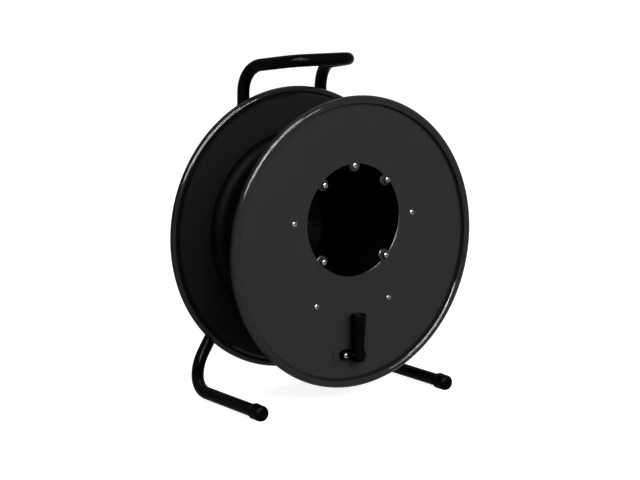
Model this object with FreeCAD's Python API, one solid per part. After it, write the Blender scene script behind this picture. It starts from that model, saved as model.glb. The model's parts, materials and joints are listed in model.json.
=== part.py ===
import FreeCAD, Part
import math
import os

# Cable reel: a steel drum on a cantilevered axle, carried by one bent tube that
# is feet, legs, risers and handle in turn. Millimetres, +Z up, +Y to the back.
# z = 0 is the floor, x = 0 the drum axis, y = 0 the middle of the overall depth.

V = FreeCAD.Vector
X_AXIS, Y_AXIS, Z_AXIS = V(1, 0, 0), V(0, 1, 0), V(0, 0, 1)

# Flanges
FLANGE_D = 380.0
SHEET = 1.5                 # flange sheet
BEAD_D = 11.0               # rolled rim, outside
BEAD_SET = 7.8              # bead stands this far proud of the flange's outer face
BEAD_GAP_DEG = 24.0         # open seam of the roll, on the inner side
WINDING_WIDTH = 134.0       # between the flanges

# Winding core
CORE_D = 236.0
CORE_WALL = 2.0
FLARE_R = 12.0              # outer radius of the flare at the rear flange
FLARE_NECK = 6.0            # flare ring's length along the core's wall
LIP = 2.0                   # flat lip beyond the flare
LUG_W = 18.0                # inward lugs that take the core screws
LUG_INNER_R = 92.0
CORE_SCREWS = 5
CORE_PCD = 197.0
CORE_SCREW_RISE = 1.5       # screw circle's centre above the drum axis

# Panel opening in the front flange
OPENING_D = 146.8
OPENING_RISE = 29.0         # centre above the drum axis
TAB_D = 15.0
TAB_INSET = 3.5             # tab centre inside the opening's edge
PANEL_SCREWS = 4
PANEL_SCREW_PROUD = 4.0     # panel screws wait part-driven, heads clear of the tabs
THREAD_COLLAR_D = 7.0
THREAD_COLLAR_L = 2.5

# Screws
THREAD_D = 4.0
SCREW_HOLE_D = 4.4
HEAD_D = 7.6
HEAD_H = 2.4
SCREW_L = 8.0
CROSS_L = 4.2
CROSS_W = 0.9
CROSS_DEPTH = 1.4

# Axle and hub
AXLE_D = 20.0
RUNNING_GAP = 0.05          # radial, hub on axle
END_GAP = 0.5               # axial, at each end of the hub
HUB_D = 30.0
HUB_INSIDE = 35.0           # hub length in front of the rear flange
HUB_PLATE_D = 90.0
HUB_PLATE_T = 3.0
HUB_BEHIND = 7.5            # hub length behind the rear flange's outer face
COLLAR_D = 34.0
WASHER_D = 32.0
WASHER_T = 2.0
LOCKNUT_AF = 30.0
LOCKNUT_T = 9.0
THREAD_OVER = 2.0           # thread beyond a nut
STUD_D = 16.0
STUD_NUT_AF = 24.0
STUD_NUT_T = 8.0

# Carrying plate across the risers
PLATE_W = 146.0
PLATE_H = 64.0
PLATE_T = 6.0
PLATE_SEAT = 2.0            # depth of the tube saddles in the plate
PLATE_CORNER_R = 8.0
DRUM_TO_PLATE = 8.0         # from the rear bead to the plate

# Stand tube
TUBE_D = 16.5
TUBE_WALL = 1.5
FOOT_X = 149.0
FOOT_AHEAD = 14.0           # cap ends this far ahead of the front bead's middle
GROUND_CLEAR = 22.5         # floor to the flange's rim
RISER_X = 62.5
LEG_TOP_DROP = 60.0         # legs meet the risers this far below the axle
HANDLE_CLEAR = 25.4         # shoulder corner above the flange's rim
HANDLE_RISE = 14.6          # crossbar above the shoulder corner
HANDLE_FORWARD = 93.9       # crossbar ahead of the risers
HANDLE_X = 45.8
FOOT_BEND_R = 50.0
LEG_BEND_R = 40.0
SHOULDER_BEND_R = 38.0
HANDLE_BEND_R = 21.0

# Foot caps
CAP_D = 20.5
CAP_L = 19.5
CAP_END_T = 3.6
CAP_GAP = 0.05
CAP_FLAT_W = 8.0
CAP_ROUND = 4.5

# Folding crank
PIVOT_R = 145.8             # pivot below the drum axis
PIVOT_AHEAD = 13.3          # pivot in front of the flange face
PIN_D = 4.0
PIN_GAP = 0.06
PIN_HEAD_D = 7.0
PIN_HEAD_T = 1.4
BLOCK_W = 11.4
BLOCK_DEPTH = 14.0
BLOCK_TOP = 6.5
SIDE_GAP = 0.3              # block to ear, and block to base when it turns
EAR_T = 2.6
EAR_R = 6.5
BASE_T = 3.0
STRAP_T = 2.0
STRAP_H = 13.4
STRAP_LEFT = 31.0
STRAP_RIGHT = 11.0
BOSS_X = 15.2
BOSS_D = 12.4
BOSS_H = 3.0
SPINDLE_D = 8.0
SPINDLE_IN = 3.5            # spindle starts this far above the pivot
SPINDLE_HEAD_D = 12.4
SPINDLE_HEAD_T = 3.4
GRIP_L = 46.8
GRIP_LOW_D = 16.4
GRIP_TOP_D = 20.0
GRIP_LIFT = 7.0             # grip's lower end above the pivot
GRIP_BORE_GAP = 0.06
GRIP_END_GAP = 0.4
GRIP_SINK = 0.8             # spindle head below the grip's end
GRIP_ROUND = 1.6

# Derived planes
AXLE_HEIGHT = FLANGE_D / 2 + GROUND_CLEAR
RISER_TOP = FLANGE_D / 2 + HANDLE_CLEAR            # shoulder corner above the axle
GRIP_FRONT = PIVOT_AHEAD + GRIP_TOP_D / 2          # ahead of the flange face
FACE_SET = BEAD_SET - BEAD_D / 2                   # flange face behind the bead's middle
BEAD_SPACING = WINDING_WIDTH + 2 * (SHEET + FACE_SET)
PLATE_BEHIND = BEAD_SPACING + BEAD_D / 2 + DRUM_TO_PLATE
RISER_BEHIND = PLATE_BEHIND + PLATE_T - PLATE_SEAT + TUBE_D / 2
FRONT_Y = -(RISER_BEHIND + TUBE_D / 2 - (GRIP_FRONT - FACE_SET)) / 2
FACE_Y = FRONT_Y + FACE_SET                        # front flange, outer face
INNER_FRONT_Y = FACE_Y + SHEET
INNER_REAR_Y = INNER_FRONT_Y + WINDING_WIDTH
REAR_FACE_Y = INNER_REAR_Y + SHEET
REAR_BEAD_Y = FRONT_Y + BEAD_SPACING
PLATE_Y = FRONT_Y + PLATE_BEHIND
RISER_Y = FRONT_Y + RISER_BEHIND
HUB_FRONT_Y = INNER_REAR_Y - HUB_INSIDE
HUB_BACK_Y = REAR_FACE_Y + HUB_BEHIND
PIVOT_Y = FACE_Y - PIVOT_AHEAD
PIVOT_Z = AXLE_HEIGHT - PIVOT_R
BASE_Y = FACE_Y - STRAP_T - BASE_T                 # front of the hinge base
OPENING_Z = AXLE_HEIGHT + OPENING_RISE


def save(shape, node):
    shape.exportStep("parts/" + node + ".step")


def rod(diameter, y0, y1, x=0.0, z=AXLE_HEIGHT):
    return Part.makeCylinder(diameter / 2, y1 - y0, V(x, y0, z), Y_AXIS)


def box(x0, x1, y0, y1, z0, z1):
    return Part.makeBox(x1 - x0, y1 - y0, z1 - z0, V(x0, y0, z0))


def hexagon(across_flats, y0, y1):
    r = across_flats / math.sqrt(3)
    corners = [V(r * math.cos(math.radians(60 * i)), y0,
                 AXLE_HEIGHT + r * math.sin(math.radians(60 * i))) for i in range(7)]
    return Part.Face(Part.makePolygon(corners)).extrude(V(0, y1 - y0, 0))


def on_circle(radius, degrees, centre_z=AXLE_HEIGHT):
    a = math.radians(degrees)
    return radius * math.cos(a), centre_z + radius * math.sin(a)


def line(a, b):
    return Part.LineSegment(a, b).toShape()


def arc(centre, radius, start, end):
    """Arc in the (radius, y) half-plane; centre is (radial distance, y)."""
    def at(degrees):
        t = math.radians(degrees)
        return V(centre[0] + radius * math.cos(t), centre[1] + radius * math.sin(t),
                 AXLE_HEIGHT)
    return Part.Arc(at(start), at((start + end) / 2), at(end)).toShape()


def turned(edges):
    face = Part.Face(Part.Wire(edges))
    return face.revolve(V(0, 0, AXLE_HEIGHT), Y_AXIS, 360)


def bead(y, outward):
    """Rolled rim: an open ring of sheet whose seam looks at the drum's middle."""
    centre = (FLANGE_D / 2 - BEAD_D / 2, y)
    outer, inner = BEAD_D / 2, BEAD_D / 2 - SHEET
    seam = 180 + outward * 20
    a, b = seam + BEAD_GAP_DEG / 2, seam + 360 - BEAD_GAP_DEG / 2
    big, small = arc(centre, outer, a, b), arc(centre, inner, b, a)
    ends = [line(big.Vertexes[-1].Point, small.Vertexes[0].Point),
            line(small.Vertexes[-1].Point, big.Vertexes[0].Point)]
    return turned([big, ends[0], small, ends[1]])


def flange(face_y, inner_y, bead_y):
    """Flat disc with its rolled rim."""
    low, high = min(face_y, inner_y), max(face_y, inner_y)
    reach = math.sqrt((BEAD_D / 2 - SHEET / 2) ** 2 - (FACE_SET + SHEET / 2) ** 2)
    disc = rod(FLANGE_D - BEAD_D - 2 * reach, low, high)
    outward = 1 if bead_y < low else -1
    return disc.fuse(bead(bead_y, outward)).removeSplitter()


def core_screw_places():
    return [on_circle(CORE_PCD / 2, 90 + 360.0 * i / CORE_SCREWS, AXLE_HEIGHT + CORE_SCREW_RISE)
            for i in range(CORE_SCREWS)]


def panel_screw_places():
    r = OPENING_D / 2 - TAB_INSET
    return [on_circle(r, 45 + 360.0 * i / PANEL_SCREWS, OPENING_Z) for i in range(PANEL_SCREWS)]


def front_flange():
    plate = flange(FACE_Y, INNER_FRONT_Y, FRONT_Y)
    plate = plate.cut(rod(OPENING_D, FACE_Y - 1, INNER_FRONT_Y + 1, 0, OPENING_Z))
    tabs = panel_screw_places() + core_screw_places()[:1]
    for x, z in tabs:
        plate = plate.fuse(rod(TAB_D, FACE_Y, INNER_FRONT_Y, x, z))
    for x, z in panel_screw_places():
        plate = plate.fuse(rod(THREAD_COLLAR_D, INNER_FRONT_Y, INNER_FRONT_Y + THREAD_COLLAR_L, x, z))
    for x, z in panel_screw_places():
        plate = plate.cut(rod(THREAD_D, FACE_Y - 1, INNER_FRONT_Y + THREAD_COLLAR_L + 1, x, z))
    for x, z in core_screw_places() + [(-BOSS_X, PIVOT_Z)]:
        plate = plate.cut(rod(SCREW_HOLE_D, FACE_Y - 1, INNER_FRONT_Y + 1, x, z))
    return plate.removeSplitter()


def rear_flange():
    plate = flange(REAR_FACE_Y, INNER_REAR_Y, REAR_BEAD_Y)
    return plate.cut(rod(HUB_D, INNER_REAR_Y - 1, REAR_FACE_Y + 1))


def flare_start():
    return INNER_REAR_Y - CORE_WALL - FLARE_R - FLARE_NECK


def drum_core():
    return rod(CORE_D, INNER_FRONT_Y, flare_start()).cut(
        rod(CORE_D - 2 * CORE_WALL, INNER_FRONT_Y - 1, flare_start() + 1))


def core_flare():
    """Ring that carries the core's wall on, flares it and lies flat on the rear flange."""
    r_out, r_in = CORE_D / 2, CORE_D / 2 - CORE_WALL
    r_flare = r_out + FLARE_R
    y_flare = flare_start() + FLARE_NECK
    z = AXLE_HEIGHT
    neck = [V(r_in, y_flare, z), V(r_in, flare_start(), z), V(r_out, flare_start(), z), V(r_out, y_flare, z)]
    lip = [V(r_flare, INNER_REAR_Y - CORE_WALL, z), V(r_flare + LIP, INNER_REAR_Y - CORE_WALL, z),
           V(r_flare + LIP, INNER_REAR_Y, z), V(r_flare, INNER_REAR_Y, z)]
    outer = arc((r_flare, y_flare), FLARE_R, 180, 90)
    inner = arc((r_flare, y_flare), FLARE_R + CORE_WALL, 90, 180)
    edges = [line(neck[0], neck[1]), line(neck[1], neck[2]), line(neck[2], neck[3]), outer]
    return turned(edges + [line(lip[0], lip[1]), line(lip[1], lip[2]), line(lip[2], lip[3]), inner])


def core_lug(i):
    """Flat lug welded inside the core's front end, tapped for a core screw."""
    r_in = CORE_D / 2 - CORE_WALL
    lug_y = INNER_FRONT_Y + CORE_WALL
    lug = box(LUG_INNER_R, r_in + 5, INNER_FRONT_Y, lug_y, -LUG_W / 2, LUG_W / 2)
    corners = [e for e in lug.Edges if e.BoundBox.YLength > CORE_WALL - 0.01 and e.BoundBox.XMax < r_in]
    lug = lug.makeFillet(LUG_W / 3, corners)
    lug.rotate(V(0, 0, 0), Y_AXIS, -(90 + 360.0 * i / CORE_SCREWS))
    lug.translate(V(0, 0, AXLE_HEIGHT))
    lug = lug.common(rod(2 * r_in, INNER_FRONT_Y, lug_y))
    x, z = core_screw_places()[i]
    return lug.cut(rod(THREAD_D, INNER_FRONT_Y - 1, lug_y + 1, x, z))


def screw(x, z, seat_y):
    """Pan-head screw driven towards +Y, head on seat_y."""
    head = rod(HEAD_D, seat_y - HEAD_H, seat_y, x, z)
    rim = [e for e in head.Edges if abs(e.BoundBox.YMax - (seat_y - HEAD_H)) < 1e-6]
    head = head.makeFillet(HEAD_H * 0.8, rim)
    body = head.fuse(rod(THREAD_D, seat_y, seat_y + SCREW_L, x, z))
    top = seat_y - HEAD_H
    for lx, lz in ((CROSS_L, CROSS_W), (CROSS_W, CROSS_L)):
        body = body.cut(box(x - lx / 2, x + lx / 2, top - 1, top + CROSS_DEPTH, z - lz / 2, z + lz / 2))
    return body.removeSplitter()


def hub():
    sleeve = rod(HUB_D, HUB_FRONT_Y, HUB_BACK_Y)
    plate = rod(HUB_PLATE_D, INNER_REAR_Y - HUB_PLATE_T, INNER_REAR_Y)
    return sleeve.fuse(plate).cut(rod(AXLE_D + 2 * RUNNING_GAP, HUB_FRONT_Y - 1, HUB_BACK_Y + 1))


def axle():
    """Shaft, thrust collar against the plate, and the stud through the plate."""
    front = HUB_FRONT_Y - END_GAP - WASHER_T - LOCKNUT_T - THREAD_OVER
    shaft = rod(AXLE_D, front, PLATE_Y)
    collar = rod(COLLAR_D, HUB_BACK_Y + END_GAP, PLATE_Y)
    stud = rod(STUD_D, PLATE_Y, PLATE_Y + PLATE_T + STUD_NUT_T + THREAD_OVER)
    return shaft.fuse([collar, stud]).removeSplitter()


def hub_washer():
    y1 = HUB_FRONT_Y - END_GAP
    return rod(WASHER_D, y1 - WASHER_T, y1).cut(rod(AXLE_D, y1 - WASHER_T - 1, y1 + 1))


def nut(across_flats, bore, y0, y1):
    """Hexagon nut with its corners turned off on both faces."""
    body = hexagon(across_flats, y0, y1)
    corner = across_flats / math.sqrt(3)
    rise = (corner - across_flats / 2) * 0.6
    cone_r = corner + 0.2
    for y, step in ((y0, 1), (y1, -1)):
        pts = [V(0, y, 0), V(across_flats / 2, y, 0), V(cone_r, y + step * rise, 0)]
        far = y0 + y1 - y
        pts += [V(cone_r, far, 0), V(0, far, 0), V(0, y, 0)]
        cone = Part.Face(Part.makePolygon(pts)).revolve(V(0, 0, 0), Y_AXIS, 360)
        cone.translate(V(0, 0, AXLE_HEIGHT))
        body = body.common(cone)
    return body.cut(rod(bore, y0 - 1, y1 + 1))


def corner_arc(before, corner, after, radius):
    """Start, middle and end of the arc that rounds a corner of a path."""
    a, b = (before - corner).normalize(), (after - corner).normalize()
    half = a.getAngle(b) / 2
    start, end = corner + a * (radius / math.tan(half)), corner + b * (radius / math.tan(half))
    bisector = (a + b).normalize()
    middle = corner + bisector * (radius / math.sin(half) - radius)
    return start, middle, end


def rounded_path(points, radii):
    edges, here = [], points[0]
    for i, radius in enumerate(radii):
        start, middle, end = corner_arc(points[i], points[i + 1], points[i + 2], radius)
        edges += [line(here, start), Part.Arc(start, middle, end).toShape()]
        here = end
    return Part.Wire(edges + [line(here, points[-1])])


def foot_end():
    """Front end and rear corner of a foot; the foot falls slightly to the back."""
    front_z = math.sqrt((CAP_D / 2) ** 2 - (CAP_FLAT_W / 2) ** 2)
    front = V(-FOOT_X, FRONT_Y - FOOT_AHEAD + CAP_END_T, front_z)
    return front, V(-FOOT_X, RISER_Y, TUBE_D / 2)


def stand_path():
    front, rear = foot_end()
    knee = V(-RISER_X, RISER_Y, AXLE_HEIGHT - LEG_TOP_DROP)
    shoulder = V(-RISER_X, RISER_Y, AXLE_HEIGHT + RISER_TOP)
    grip = V(-HANDLE_X, RISER_Y - HANDLE_FORWARD, AXLE_HEIGHT + RISER_TOP + HANDLE_RISE)
    left = [front, rear, knee, shoulder, grip]
    right = [V(-p.x, p.y, p.z) for p in reversed(left)]
    radii = [FOOT_BEND_R, LEG_BEND_R, SHOULDER_BEND_R, HANDLE_BEND_R]
    return rounded_path(left + right, radii + radii[::-1])


def swept(path, diameter):
    start = path.OrderedVertexes[0].Point
    ahead = path.OrderedEdges[0].tangentAt(path.OrderedEdges[0].FirstParameter)
    ring = Part.Wire(Part.makeCircle(diameter / 2, start, ahead))
    return path.makePipeShell([ring], True, False)


def stand_tube():
    path = stand_path()
    return swept(path, TUBE_D).cut(swept(path, TUBE_D - 2 * TUBE_WALL))


def axle_plate():
    y0, y1 = PLATE_Y, PLATE_Y + PLATE_T
    half_w, half_h = PLATE_W / 2, PLATE_H / 2
    plate = box(-half_w, half_w, y0, y1, AXLE_HEIGHT - half_h, AXLE_HEIGHT + half_h)
    corners = [e for e in plate.Edges if e.BoundBox.YLength > PLATE_T - 0.01]
    plate = plate.makeFillet(PLATE_CORNER_R, corners)
    for side in (-1, 1):
        plate = plate.cut(Part.makeCylinder(TUBE_D / 2, PLATE_H + 2,
                                            V(side * RISER_X, RISER_Y, AXLE_HEIGHT - half_h - 1)))
    return plate.cut(rod(STUD_D, y0 - 1, y1 + 1))


def foot_cap(side):
    """Closed plastic cap pushed over the tube's end, with a flat to stand on."""
    front, rear = foot_end()
    along = (rear - front).normalize()
    nose = front - along * CAP_END_T
    cap = Part.makeCylinder(CAP_D / 2, CAP_L, nose, along)
    rims = [e for e in cap.Edges if isinstance(e.Curve, Part.Circle)]
    nose_rim = min(rims, key=lambda e: e.BoundBox.YMin)
    cap = cap.makeFillet(CAP_ROUND, [nose_rim])
    cap = cap.cut(Part.makeCylinder(TUBE_D / 2 + CAP_GAP, CAP_L, front, along))
    cap = cap.cut(box(-2 * FOOT_X, 0, nose.y - 5, nose.y + CAP_L + 5, -5, 0))
    return cap if side < 0 else cap.mirror(V(0, 0, 0), X_AXIS)


def crank_strap():
    z0, z1 = PIVOT_Z - STRAP_H / 2, PIVOT_Z + STRAP_H / 2
    strap = box(-STRAP_LEFT, STRAP_RIGHT, FACE_Y - STRAP_T, FACE_Y, z0, z1)
    corners = [e for e in strap.Edges if e.BoundBox.YLength > STRAP_T - 0.01]
    strap = strap.makeFillet(1.5, corners)
    return strap.cut(rod(SCREW_HOLE_D, FACE_Y - STRAP_T - 1, FACE_Y + 1, -BOSS_X, PIVOT_Z))


def crank_base():
    """Hinge base: rounded foot with the screw boss, and two ears for the pin."""
    seat_y = FACE_Y - STRAP_T
    outer = BLOCK_W / 2 + SIDE_GAP + EAR_T
    base = box(-BOSS_X, outer, BASE_Y, seat_y, PIVOT_Z - EAR_R, PIVOT_Z + EAR_R)
    base = base.fuse(rod(2 * EAR_R, BASE_Y, seat_y, -BOSS_X, PIVOT_Z))
    base = base.fuse(rod(BOSS_D, BASE_Y - BOSS_H, seat_y, -BOSS_X, PIVOT_Z))
    for x0 in (-outer, outer - EAR_T):
        ear = box(x0, x0 + EAR_T, PIVOT_Y, seat_y, PIVOT_Z - EAR_R, PIVOT_Z + EAR_R)
        ear = ear.fuse(Part.makeCylinder(EAR_R, EAR_T, V(x0, PIVOT_Y, PIVOT_Z), X_AXIS))
        base = base.fuse(ear)
    base = base.cut(rod(SCREW_HOLE_D, BASE_Y - BOSS_H - 1, seat_y + 1, -BOSS_X, PIVOT_Z))
    pin_hole = Part.makeCylinder(PIN_D / 2, 4 * outer, V(-2 * outer, PIVOT_Y, PIVOT_Z), X_AXIS)
    return base.cut(pin_hole).removeSplitter()


def hinge_pin():
    outer = BLOCK_W / 2 + SIDE_GAP + EAR_T
    pin = Part.makeCylinder(PIN_D / 2, 2 * outer, V(-outer, PIVOT_Y, PIVOT_Z), X_AXIS)
    for x0 in (-outer - PIN_HEAD_T, outer):
        head = Part.makeCylinder(PIN_HEAD_D / 2, PIN_HEAD_T, V(x0, PIVOT_Y, PIVOT_Z), X_AXIS)
        edge_x = x0 if x0 < 0 else x0 + PIN_HEAD_T
        rim = [e for e in head.Edges if abs(e.BoundBox.XMin - edge_x) < 1e-6
               and abs(e.BoundBox.XMax - edge_x) < 1e-6]
        pin = pin.fuse(head.makeFillet(PIN_HEAD_T * 0.7, rim))
    return pin.removeSplitter()


def crank_block():
    """Turning block; its front lower corner meets the base just past 90 degrees."""
    half = BLOCK_DEPTH / 2
    sweep = FACE_Y - STRAP_T - BASE_T - PIVOT_Y - SIDE_GAP
    drop = math.sqrt(sweep ** 2 - half ** 2)
    x0 = -BLOCK_W / 2

    def at(dy, dz):
        return V(x0, PIVOT_Y + dy, PIVOT_Z + dz)
    turn = math.radians(-0.5 * (90 + math.degrees(math.atan2(drop, half))))
    edges = [line(at(-half, BLOCK_TOP), at(half, BLOCK_TOP)), line(at(half, BLOCK_TOP), at(half, -drop)),
             Part.Arc(at(half, -drop), at(sweep * math.cos(turn), sweep * math.sin(turn)),
                      at(0, -sweep)).toShape(),
             line(at(0, -sweep), at(-half, -sweep)), line(at(-half, -sweep), at(-half, BLOCK_TOP))]
    block = Part.Face(Part.Wire(edges)).extrude(V(BLOCK_W, 0, 0))
    hole = Part.makeCylinder(PIN_D / 2 + PIN_GAP, BLOCK_W + 2, V(x0 - 1, PIVOT_Y, PIVOT_Z), X_AXIS)
    socket = Part.makeCylinder(SPINDLE_D / 2, BLOCK_TOP, V(0, PIVOT_Y, PIVOT_Z + SPINDLE_IN))
    return block.cut(hole).cut(socket)


def crank_spindle():
    head_z = PIVOT_Z + GRIP_LIFT + GRIP_L - GRIP_SINK - SPINDLE_HEAD_T
    start = PIVOT_Z + SPINDLE_IN
    shaft = Part.makeCylinder(SPINDLE_D / 2, head_z - start, V(0, PIVOT_Y, start))
    head = Part.makeCylinder(SPINDLE_HEAD_D / 2, SPINDLE_HEAD_T, V(0, PIVOT_Y, head_z))
    rim = [e for e in head.Edges if e.BoundBox.ZMin > head_z + SPINDLE_HEAD_T - 1e-6]
    return shaft.fuse(head.makeFillet(1.4, rim)).removeSplitter()


def grip():
    """Tapered grip that turns on the spindle, with the spindle's head sunk in its end."""
    low = PIVOT_Z + GRIP_LIFT
    body = Part.makeCone(GRIP_LOW_D / 2, GRIP_TOP_D / 2, GRIP_L, V(0, PIVOT_Y, low))
    ends = [e for e in body.Edges if isinstance(e.Curve, Part.Circle)]
    body = body.makeFillet(GRIP_ROUND, [max(ends, key=lambda e: e.BoundBox.ZMin)])
    floor_z = low + GRIP_L - GRIP_SINK - SPINDLE_HEAD_T - GRIP_END_GAP
    pocket_r = SPINDLE_HEAD_D / 2 + GRIP_END_GAP
    bore = Part.makeCylinder(SPINDLE_D / 2 + GRIP_BORE_GAP, GRIP_L + 2, V(0, PIVOT_Y, low - 1))
    return body.cut(bore).cut(Part.makeCylinder(pocket_r, GRIP_L, V(0, PIVOT_Y, floor_z)))


os.makedirs("parts", exist_ok=True)
save(stand_tube(), "stand_tube")
save(foot_cap(-1), "foot_cap_left")
save(foot_cap(1), "foot_cap_right")
save(axle_plate(), "axle_plate")
save(axle(), "axle")
save(hub_washer(), "hub_washer")
locknut_back = HUB_FRONT_Y - END_GAP - WASHER_T
save(nut(LOCKNUT_AF, AXLE_D, locknut_back - LOCKNUT_T, locknut_back), "hub_locknut")
plate_back = PLATE_Y + PLATE_T
save(nut(STUD_NUT_AF, STUD_D, plate_back, plate_back + STUD_NUT_T), "stud_nut")
save(front_flange(), "front_flange")
save(rear_flange(), "rear_flange")
save(drum_core(), "drum_core")
save(core_flare(), "core_flare")
save(hub(), "hub")
for number, (sx, sz) in enumerate(core_screw_places(), 1):
    save(screw(sx, sz, FACE_Y), "core_screw_%d" % number)
    save(core_lug(number - 1), "core_lug_%d" % number)
for number, (sx, sz) in enumerate(panel_screw_places(), 1):
    save(screw(sx, sz, FACE_Y - PANEL_SCREW_PROUD), "panel_screw_%d" % number)
save(crank_strap(), "crank_strap")
save(crank_base(), "crank_base")
save(screw(-BOSS_X, PIVOT_Z, BASE_Y - BOSS_H), "crank_screw")
save(hinge_pin(), "hinge_pin")
save(crank_block(), "crank_block")
save(crank_spindle(), "crank_spindle")
save(grip(), "grip")
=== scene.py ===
import bpy
import json
import math
from mathutils import Matrix, Vector

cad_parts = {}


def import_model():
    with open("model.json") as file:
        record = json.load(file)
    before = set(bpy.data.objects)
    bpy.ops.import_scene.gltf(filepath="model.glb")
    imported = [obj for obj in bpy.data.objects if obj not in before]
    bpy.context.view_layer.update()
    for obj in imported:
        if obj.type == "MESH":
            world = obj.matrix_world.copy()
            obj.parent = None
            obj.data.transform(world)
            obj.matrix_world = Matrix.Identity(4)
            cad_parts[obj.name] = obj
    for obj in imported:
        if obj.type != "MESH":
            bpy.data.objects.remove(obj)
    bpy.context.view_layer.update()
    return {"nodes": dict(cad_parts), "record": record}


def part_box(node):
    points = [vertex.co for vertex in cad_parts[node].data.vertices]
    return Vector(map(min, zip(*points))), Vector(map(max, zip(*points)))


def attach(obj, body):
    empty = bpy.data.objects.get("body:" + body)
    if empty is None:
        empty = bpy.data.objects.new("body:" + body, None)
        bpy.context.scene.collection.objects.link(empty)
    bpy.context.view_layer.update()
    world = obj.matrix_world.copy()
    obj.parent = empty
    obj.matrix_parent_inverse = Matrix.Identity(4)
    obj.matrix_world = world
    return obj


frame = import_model()


def corners(node):
    """Lowest and highest corner of a CAD node."""
    low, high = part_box(node)
    return Vector(low), Vector(high)


def middle(node):
    low, high = corners(node)
    return (low + high) / 2


# Sizes that the nodes' boxes don't give, in metres.
DRUM_AXIS = middle("hub").z
ROLL_START, ROLL_FULL = 0.1765, 0.1785      # radii between which the sheet turns into the rolled rim
TUBE_R, RISER_X = 0.00825, 0.0625
SADDLE_EDGE = 0.653                         # where a riser leaves its saddle, as a share of its radius
HUB_BEAD_R, HUB_PLATE_BEAD_R, HUB_PLATE_T = 0.0153, 0.0452, 0.003
LUG_BEAD_R = 0.1157
STUD_CREST_R, AXLE_CREST_R = 0.00795, 0.00995
CAP_R = 0.01025
GRIP_LOW_R, GRIP_TOP_R = 0.0082, 0.0100
SCREW_HEAD, OPENING_R, TAB_R = 0.0024, 0.0734, 0.0075
OPENING_Z = DRUM_AXIS + 0.029


# ---------------------------------------------------------------- node helpers

class Shader:
    """A material under construction: a Principled shader and its texture nodes."""

    def __init__(self, name):
        self.mat = bpy.data.materials.new(name)
        self.mat.use_nodes = True
        self.tree = self.mat.node_tree
        self.bsdf = self.tree.nodes["Principled BSDF"]
        places = self.tree.nodes.new("ShaderNodeTexCoord").outputs
        self.coords, self.normal = places["Object"], places["Normal"]

    def node(self, kind, **inputs):
        n = self.tree.nodes.new(kind)
        for key, value in inputs.items():
            n.inputs[key.replace("_", " ")].default_value = value
        return n

    def link(self, a, b):
        self.tree.links.new(a, b)

    def set(self, **inputs):
        for key, value in inputs.items():
            self.bsdf.inputs[key.replace("_", " ")].default_value = value

    def noise(self, scale, detail=3.0, roughness=0.55):
        n = self.node("ShaderNodeTexNoise", Scale=scale, Detail=detail, Roughness=roughness)
        self.link(self.coords, n.inputs["Vector"])
        return n.outputs["Fac"]

    def span(self, value, low, high, frm=0.3, to=0.7):
        """Maps a 0-1 texture value onto low-high."""
        n = self.node("ShaderNodeMapRange", From_Min=frm, From_Max=to, To_Min=low, To_Max=high)
        self.link(value, n.inputs["Value"])
        return n.outputs["Result"]

    def blend(self, factor, first, second):
        n = self.node("ShaderNodeMix")
        n.data_type = "RGBA"
        n.inputs[6].default_value = (*first, 1)
        n.inputs[7].default_value = (*second, 1)
        self.link(factor, n.inputs["Factor"])
        return n.outputs[2]

    def product(self, a, b):
        n = self.node("ShaderNodeMath")
        n.operation = "MULTIPLY"
        self.link(a, n.inputs[0])
        self.link(b, n.inputs[1])
        return n.outputs[0]

    def bump(self, height, strength, distance):
        n = self.node("ShaderNodeBump", Strength=strength, Distance=distance)
        self.link(height, n.inputs["Height"])
        self.link(n.outputs["Normal"], self.bsdf.inputs["Normal"])

    def colour(self, socket):
        self.link(socket, self.bsdf.inputs["Base Color"])

    def rough(self, socket):
        self.link(socket, self.bsdf.inputs["Roughness"])


def grey(level):
    return (level, level, level)


def paint(name, dark, light, rough, peel, gloss, coat=0.0):
    """Sprayed paint: cloudy colour and gloss, and an orange-peel bump."""
    s = Shader(name)
    s.set(Specular_IOR_Level=gloss, Coat_Weight=coat, Coat_Roughness=0.20)
    s.colour(s.blend(s.span(s.noise(9, 4), 0, 1), dark, light))
    s.rough(s.span(s.noise(35, 4), *rough))
    s.bump(s.noise(700, 2), peel, 0.0002)
    return s


def axis_distance(s):
    """Distance of a point from the drum's axis."""
    flat = s.node("ShaderNodeVectorMath")
    flat.operation = "MULTIPLY_ADD"
    s.link(s.coords, flat.inputs[0])
    flat.inputs[1].default_value = (1, 0, 1)
    flat.inputs[2].default_value = (0, 0, -DRUM_AXIS)
    radius = s.node("ShaderNodeVectorMath")
    radius.operation = "LENGTH"
    s.link(flat.outputs["Vector"], radius.inputs[0])
    return radius.outputs["Value"]


def darken(s, factor, amount):
    """Multiplies the colour by 1 - amount where factor is 1."""
    mix = s.node("ShaderNodeMix")
    mix.data_type = "RGBA"
    mix.blend_type = "MULTIPLY"
    s.link(factor, mix.inputs["Factor"])
    s.link(s.bsdf.inputs["Base Color"].links[0].from_socket, mix.inputs[6])
    mix.inputs[7].default_value = (1 - amount, 1 - amount, 1 - amount, 1)
    s.colour(mix.outputs[2])


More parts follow.
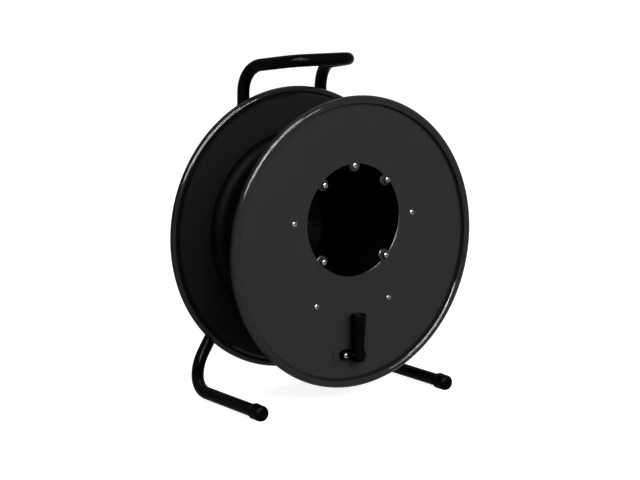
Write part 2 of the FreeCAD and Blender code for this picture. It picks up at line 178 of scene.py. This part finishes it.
def flange_coat(name, shade, inside):
    """Satin paint, glossy on the front half of the rolled rim and dull on its back half; the rim's colour is
    darkened as painted shade.

    Where inside is given, the steel ahead of that y and within the core is darkened almost to black as painted
    shade for the drum's unlit inside."""
    # shade scales the paint's colour; below 1 it is painted shade.
    dark = [shade * c for c in (0.0286, 0.0289, 0.0289)]
    light = [shade * c for c in (0.0317, 0.0321, 0.0321)]
    s = paint(name, dark, light, rough=(0.27, 0.33), peel=0.08, gloss=0.015)
    radius = axis_distance(s)
    rim = s.span(radius, 0, 1, ROLL_START, ROLL_FULL)
    # Painted shade: the rolled rim's colour is darkened to 40 % of the face's.
    darken(s, rim, 0.60)
    facing = s.node("ShaderNodeSeparateXYZ")
    s.link(s.normal, facing.inputs[0])
    gloss = s.span(facing.outputs["Y"], 0.20, 0, -0.45, -0.10)
    s.link(s.product(rim, gloss), s.bsdf.inputs["Coat Weight"])
    dull = s.node("ShaderNodeMix", B=0.85)
    behind = s.span(facing.outputs["Y"], 0, 1, -0.45, -0.10)
    s.link(s.product(rim, behind), dull.inputs["Factor"])
    s.link(s.bsdf.inputs["Roughness"].links[0].from_socket, dull.inputs["A"])
    s.rough(dull.outputs["Result"])
    s.set(Coat_Roughness=0.05)
    if inside:
        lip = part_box("core_flare")[1][0]
        split = s.node("ShaderNodeSeparateXYZ")
        s.link(s.coords, split.inputs[0])
        front = s.span(split.outputs["Y"], 1, 0, inside, inside + 0.0004)
        within = s.span(radius, 1, 0, lip - 0.0015, lip - 0.0003)
        # Painted shade: the rear flange inside the core is darkened by 96 %.
        darken(s, s.product(front, within), 0.96)
    return s.mat


def metal(name, dark, light, rough):
    """Plated or bare metal with fine mottling."""
    s = Shader(name)
    s.set(Metallic=1.0)
    s.colour(s.blend(s.span(s.noise(220, 4), 0, 1), dark, light))
    s.rough(s.span(s.noise(400, 3), *rough))
    s.bump(s.noise(1500, 2), 0.15, 0.0001)
    return s.mat


def plastic(name, dark, light, rough, gloss, coat):
    """Moulded plastic with a fine sparked grain."""
    s = Shader(name)
    s.set(Specular_IOR_Level=gloss, Coat_Weight=coat, Coat_Roughness=0.35)
    s.colour(s.blend(s.span(s.noise(60, 3), 0, 1), dark, light))
    s.rough(s.span(s.noise(120, 3), *rough))
    s.bump(s.noise(1800, 3), 0.25, 0.0002)
    return s.mat


flange_paint = flange_coat("flange_paint", 1.0, None)
# Painted shade: the rear flange has the flange paint darkened to 42 %, for the shade between the flanges.
rear_shaded_paint = flange_coat("rear_flange_shaded_paint", 0.42, corners("core_flare")[1].y + 0.0003)
tube_paint = paint("tube_paint", (0.0006, 0.0006, 0.0007), (0.0010, 0.0010, 0.0011),
                   rough=(0.22, 0.30), peel=0.05, gloss=0.003, coat=0.028).mat
core_paint = paint("core_paint", grey(0.0008), grey(0.0013), rough=(0.50, 0.62), peel=0.10, gloss=0.015).mat
crank_black = paint("crank_black", grey(0.0008), grey(0.0013),
                    rough=(0.36, 0.48), peel=0.10, gloss=0.003, coat=0.02).mat
black_steel = paint("black_steel", grey(0.0008), grey(0.0014), rough=(0.45, 0.60), peel=0.10, gloss=0.02).mat
grip_plastic = plastic("grip_plastic", grey(0.0008), grey(0.0013), rough=(0.42, 0.55), gloss=0.003, coat=0.014)
cap_plastic = plastic("cap_plastic", grey(0.0008), grey(0.0012), rough=(0.32, 0.44), gloss=0.003, coat=0.022)
zinc = metal("zinc", (0.05, 0.05, 0.051), (0.22, 0.22, 0.224), rough=(0.15, 0.32))
# Bare metal for the rubbed edges, which also serves as painted highlight on their lit arcs.
cut_edge_glint = metal("cut_edge_glint", grey(0.08), grey(0.20), rough=(0.26, 0.40))

finish_of = {"tube_paint": tube_paint, "flange_paint": flange_paint, "core_paint": core_paint,
             "cap_plastic": cap_plastic, "grip_plastic": grip_plastic, "crank_black": crank_black,
             "black_steel": black_steel, "zinc": zinc}

for entry in frame["record"]["subparts"]:
    node = frame["nodes"][entry["node"]]
    node.data.materials.clear()
    at_rear = entry["node"] == "rear_flange"
    node.data.materials.append(rear_shaded_paint if at_rear else finish_of[entry["material_slot"]])


# ---------------------------------------------------------------- fine detail

def piece(name, verts, faces, body, slot, finish=None):
    """Adds a smooth mesh that rides on a body; finish stands in for the slot's own material."""
    mesh = bpy.data.meshes.new(name)
    mesh.from_pydata(verts, [], faces)
    mesh.materials.append(finish or finish_of[slot])
    for face in mesh.polygons:
        face.use_smooth = True
    obj = bpy.data.objects.new(name, mesh)
    bpy.context.scene.collection.objects.link(obj)
    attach(obj, body)


def swept_bead(lines, ripple, pitch, sides=10):
    """Bead of round section along each (points, radius, closed) line, swelling every pitch metres."""
    verts, faces = [], []
    for points, radius, closed in lines:
        base, count, run = len(verts), len(points), 0.0
        for i, p in enumerate(points):
            before = points[i - 1 if closed else max(i - 1, 0)]
            after = points[(i + 1) % count if closed else min(i + 1, count - 1)]
            along = (after - before).normalized()
            u = along.orthogonal().normalized() if i == 0 else (u - along * u.dot(along)).normalized()
            w = along.cross(u)
            run += (p - points[i - 1]).length if i else 0.0
            end = min(1.0, 0.35 + min(i, count - 1 - i) * 0.3) if not closed else 1.0
            r = radius * end * (1 + ripple * abs(math.cos(math.pi * run / pitch)))
            verts += [p + (u * math.cos(t) + w * math.sin(t)) * r
                      for t in (2 * math.pi * k / sides for k in range(sides))]
        for i in range(count if closed else count - 1):
            a, b = base + i * sides, base + (i + 1) % count * sides
            faces += [(a + k, a + (k + 1) % sides, b + (k + 1) % sides, b + k) for k in range(sides)]
    return verts, faces


def straight(a, b, steps):
    return [a.lerp(b, i / steps) for i in range(steps + 1)]


def ring(radius, y, x=0.0, z=0.0, start=0.0, turn=360.0, steps=160):
    angles = [math.radians(start + turn * i / steps) for i in range(steps + (turn < 360))]
    return [Vector((x + radius * math.cos(t), y, z + radius * math.sin(t))) for t in angles]


def helix(radius, y0, y1, pitch, z, steps=48):
    turns = (y1 - y0) / pitch
    count = int(turns * steps)
    return [Vector((radius * math.cos(2 * math.pi * i / steps), y0 + pitch * i / steps,
                    z + radius * math.sin(2 * math.pi * i / steps))) for i in range(count + 1)]


def lathe(profile, z, steps=96):
    """Closed ring turned about the drum axis from (radius, y) points."""
    verts = [Vector((r * math.cos(t), y, z + r * math.sin(t)))
             for t in (2 * math.pi * k / steps for k in range(steps)) for r, y in profile]
    n = len(profile)
    faces = [(k * n + i, k * n + (i + 1) % n, (k + 1) % steps * n + (i + 1) % n, (k + 1) % steps * n + i)
             for k in range(steps) for i in range(n)]
    return verts, faces


def plate_welds():
    """Fillet welds down both sides of each riser, where it lies in the plate's saddle."""
    low, high = corners("axle_plate")
    lines = []
    for x in (-RISER_X, RISER_X):
        for side in (-1, 1):
            at = x + side * (TUBE_R * SADDLE_EDGE + 0.0008)
            lines.append((straight(Vector((at, high.y + 0.0003, low.z + 0.006)),
                                   Vector((at, high.y + 0.0003, high.z - 0.006)), 150), 0.0021, False))
    piece("weld_plate", *swept_bead(lines, 0.16, 0.0017), "stand", "tube_paint")


def hub_welds():
    """Beads round the sleeve on both sides, and round its plate's edge on the rear flange."""
    face = corners("core_flare")[1].y
    lines = [(ring(HUB_BEAD_R, face - HUB_PLATE_T - 0.0002, z=DRUM_AXIS), 0.0019, True),
             (ring(HUB_PLATE_BEAD_R, face - 0.0013, z=DRUM_AXIS, steps=420), 0.0019, True),
             (ring(HUB_BEAD_R, face + 0.0017, z=DRUM_AXIS), 0.0019, True)]
    piece("weld_hub", *swept_bead(lines, 0.16, 0.0018), "drum", "core_paint")


def lug_welds():
    """A short bead behind each lug, where it meets the core's wall."""
    lines = []
    for i in range(5):
        back = corners("core_lug_%d" % (i + 1))[1].y
        seam = ring(LUG_BEAD_R, back + 0.0002, z=DRUM_AXIS, start=90 + 72 * i - 3.6, turn=7.2, steps=60)
        lines.append((seam, 0.0013, False))
    piece("weld_lugs", *swept_bead(lines, 0.16, 0.0016), "drum", "core_paint")


def spindle_weld():
    """Bead round the spindle's foot on the hinge block."""
    place = middle("crank_spindle")
    top = corners("crank_block")[1].z
    loop = [Vector((place.x + 0.0041 * math.cos(t), place.y + 0.0041 * math.sin(t), top))
            for t in (2 * math.pi * k / 60 for k in range(60))]
    piece("weld_spindle", *swept_bead([(loop, 0.00035, True)], 0.2, 0.0012), "crank", "crank_black")


def threads():
    """Thread crests on the stud's end and on the axle's end beyond the locknut."""
    stud_end, nut_end = corners("axle")[1].y, corners("stud_nut")[1].y
    crest = helix(STUD_CREST_R, nut_end - 0.001, stud_end - 0.0003, 0.0010, DRUM_AXIS)
    piece("thread_stud", *swept_bead([(crest, 0.00030, False)], 0, 1), "stand", "zinc")
    shaft, nut = corners("axle")[0].y, corners("hub_locknut")[0].y
    crest = helix(AXLE_CREST_R, shaft + 0.0003, nut + 0.001, 0.0008, DRUM_AXIS)
    piece("thread_axle", *swept_bead([(crest, 0.00028, False)], 0, 1), "stand", "black_steel")


def locknut_insert():
    """Nylon collar in the locknut's outer end."""
    y = corners("hub_locknut")[0].y
    profile = [(0.0101, y + 0.002), (0.0101, y - 0.0002), (0.0104, y - 0.0007), (0.0127, y - 0.0007),
               (0.0131, y - 0.0002), (0.0131, y + 0.002)]
    piece("locknut_insert", *lathe(profile, DRUM_AXIS), "stand", "cap_plastic")


def cap_rings():
    """Moulded rings round each cap, open underneath where the cap is flat."""
    lines = []
    for side in ("left", "right"):
        high = corners("foot_cap_" + side)[1]
        x, z = middle("foot_cap_" + side).x, high.z - CAP_R
        for y in (high.y - 0.0012, high.y - 0.0040):
            lines.append((ring(0.01018, y, x, z, -50, 280, 90), 0.00042, False))
    piece("cap_rings", *swept_bead(lines, 0, 1, 8), "stand", "cap_plastic")


def grip_parting():
    """Parting line of the grip's mould, down both sides."""
    low, high = corners("grip")
    cx, cy = (low.x + high.x) / 2, (low.y + high.y) / 2
    top_r = (high.x - low.x) / 2
    low_r = top_r - (GRIP_TOP_R - GRIP_LOW_R)
    lines = []
    for side in (-1, 1):
        a = Vector((cx + side * (low_r + 0.00003), cy, low.z + 0.0016))
        b = Vector((cx + side * (top_r - 0.00010), cy, high.z - 0.0016))
        lines.append((straight(a, b, 30), 0.00022, False))
    piece("grip_parting", *swept_bead(lines, 0, 1, 8), "grip", "grip_plastic")


def rubbed_glint_arc(centre, radius, side, start, turn, face):
    """Bare bevel along a sheet edge, worn metal that also serves as painted highlight; side is +1 round a tab
    and -1 round a hole.
    """
    profile = ((side * 0.0002, face + 0.0010), (side * 0.0002, face + 0.0003), (-side * 0.0003, face - 0.00004))
    steps = max(12, int(turn * 2))
    verts = []
    for i in range(steps + 1):
        angle = math.radians(start + turn * i / steps)
        fade = min(1.0, min(i, steps - i) * 4 / steps)
        for step, y in profile:
            r = radius + (step * fade if step * side < 0 else step)
            verts.append(Vector((centre.x + r * math.cos(angle), y, centre.z + r * math.sin(angle))))
    faces = [(3 * i + k, 3 * i + k + 1, 3 * i + k + 4, 3 * i + k + 3) for i in range(steps) for k in (0, 1)]
    return verts, faces


def worn_edges_and_glints():
    """Corners rubbed bare where the panel goes in, laid only on the arcs that catch the light, so they are wear
    and painted highlight together: the opening, low on the right, and the tabs.
    """
    face = corners("core_screw_1")[0].y + SCREW_HEAD
    opening = Vector((0, 0, OPENING_Z))
    arcs = [rubbed_glint_arc(opening, OPENING_R, -1, -39, 40, face),
            rubbed_glint_arc(opening, OPENING_R, -1, -74, 23, face)]
    tabs = {1: (150, 60), 2: (290, 40), 3: (105, 70), 4: (120, 70)}
    for number, (start, turn) in tabs.items():
        arcs.append(rubbed_glint_arc(middle("panel_screw_%d" % number), TAB_R, 1, start, turn, face))
    verts, faces = [], []
    for more, quads in arcs:
        faces += [tuple(len(verts) + k for k in quad) for quad in quads]
        verts += more
    piece("worn_edge_and_glint", verts, faces, "drum", "zinc", cut_edge_glint)


plate_welds()
hub_welds()
lug_welds()
spindle_weld()
threads()
locknut_insert()
cap_rings()
grip_parting()
worn_edges_and_glints()


# ---------------------------------------------------------------- stage

def camera():
    """Long lens, front left of the reel and slightly above it."""
    yaw, pitch, roll = math.radians(35.7), math.radians(9.95), math.radians(0.78)
    ahead = Vector((math.sin(yaw) * math.cos(pitch), math.cos(yaw) * math.cos(pitch), -math.sin(pitch)))
    side = Vector((math.cos(yaw), -math.sin(yaw), 0))
    up = side.cross(ahead)
    right = side * math.cos(roll) + up * math.sin(roll)
    top = up * math.cos(roll) - side * math.sin(roll)
    cam = bpy.data.cameras.new("camera")
    cam.sensor_width = 36.0
    cam.lens = 111.43125
    cam.clip_end = 200.0
    obj = bpy.data.objects.new("camera", cam)
    bpy.context.scene.collection.objects.link(obj)
    turn = Matrix((right, top, -ahead)).transposed().to_4x4()
    obj.matrix_world = Matrix.Translation((-1.500, -2.0883, 0.6555)) @ turn
    bpy.context.scene.camera = obj


def lamp(name, place, size, watts, along=(1, 0, 0), sheen_only=False):
    """Rectangular soft light aimed at the drum; sheen_only lights show in gloss and add no brightness."""
    data = bpy.data.lights.new(name, "AREA")
    data.shape = "RECTANGLE"
    data.size, data.size_y = size
    data.energy = watts
    obj = bpy.data.objects.new(name, data)
    bpy.context.scene.collection.objects.link(obj)
    back = (Vector(place) - Vector((0, 0, 0.21))).normalized()
    right = (Vector(along) - back * back.dot(Vector(along))).normalized()
    turn = Matrix((right, back.cross(right), back)).transposed().to_4x4()
    obj.matrix_world = Matrix.Translation(place) @ turn
    obj.visible_camera = False
    obj.visible_diffuse = not sheen_only


def seen_directly(tree):
    """1 for camera, glossy and transmission rays, 0 for the rest."""
    path = tree.nodes.new("ShaderNodeLightPath")
    total = path.outputs["Is Camera Ray"]
    for other in ("Is Glossy Ray", "Is Transmission Ray"):
        top = tree.nodes.new("ShaderNodeMath")
        top.operation = "MAXIMUM"
        tree.links.new(total, top.inputs[0])
        tree.links.new(path.outputs[other], top.inputs[1])
        total = top.outputs[0]
    return total


def world(level):
    """White where it is seen or reflected, and of the given level as light."""
    w = bpy.data.worlds.new("studio")
    bpy.context.scene.world = w
    w.use_nodes = True
    back = w.node_tree.nodes["Background"]
    back.inputs["Color"].default_value = (1, 1, 1, 1)
    strength = w.node_tree.nodes.new("ShaderNodeMapRange")
    strength.inputs["To Min"].default_value = level
    strength.inputs["To Max"].default_value = 1.0
    w.node_tree.links.new(seen_directly(w.node_tree), strength.inputs["Value"])
    w.node_tree.links.new(strength.outputs["Result"], back.inputs["Strength"])


FLOOR_HALF = 60.0
FLOOR_BOUNCE, FLOOR_SEEN, FLOOR_GLOW = 0.25, 0.6, 0.86


def floor():
    """Pale plane that shows white with the reel's shadow, and bounces little light up."""
    mesh = bpy.data.meshes.new("floor")
    r = FLOOR_HALF
    mesh.from_pydata([(-r, -r, 0), (r, -r, 0), (r, r, 0), (-r, r, 0)], [], [(0, 1, 2, 3)])
    obj = bpy.data.objects.new("floor", mesh)
    bpy.context.scene.collection.objects.link(obj)
    mat = bpy.data.materials.new("floor")
    mat.use_nodes = True
    tree = mat.node_tree
    tree.nodes.clear()
    out = tree.nodes.new("ShaderNodeOutputMaterial")
    add = tree.nodes.new("ShaderNodeAddShader")
    body = tree.nodes.new("ShaderNodeBsdfDiffuse")
    shade = tree.nodes.new("ShaderNodeMix")
    shade.data_type = "RGBA"
    shade.inputs[6].default_value = (*grey(FLOOR_BOUNCE), 1)
    shade.inputs[7].default_value = (*grey(FLOOR_SEEN), 1)
    tree.links.new(seen_directly(tree), shade.inputs["Factor"])
    tree.links.new(shade.outputs[2], body.inputs["Color"])
    glow = tree.nodes.new("ShaderNodeEmission")
    lift = tree.nodes.new("ShaderNodeMath")
    lift.operation = "MULTIPLY"
    lift.inputs[1].default_value = FLOOR_GLOW
    tree.links.new(seen_directly(tree), lift.inputs[0])
    tree.links.new(lift.outputs[0], glow.inputs["Strength"])
    tree.links.new(body.outputs[0], add.inputs[0])
    tree.links.new(glow.outputs[0], add.inputs[1])
    tree.links.new(add.outputs[0], out.inputs["Surface"])
    mesh.materials.append(mat)


camera()
world(0.32)
floor()
lamp("front", (-0.6, -2.6, 1.55), (2.6, 1.0), 67)
lamp("front_sheen", (0.0, -2.65, 1.50), (2.4, 0.11), 240, sheen_only=True)
lamp("left_sheen", (-1.14, -1.63, 2.10), (2.9, 0.18), 400, along=(2.58, -0.45, 1.35), sheen_only=True)
lamp("back", (0.5, 1.6, 2.6), (2.0, 1.2), 26)

view = bpy.context.scene.view_settings
view.view_transform = "Standard"
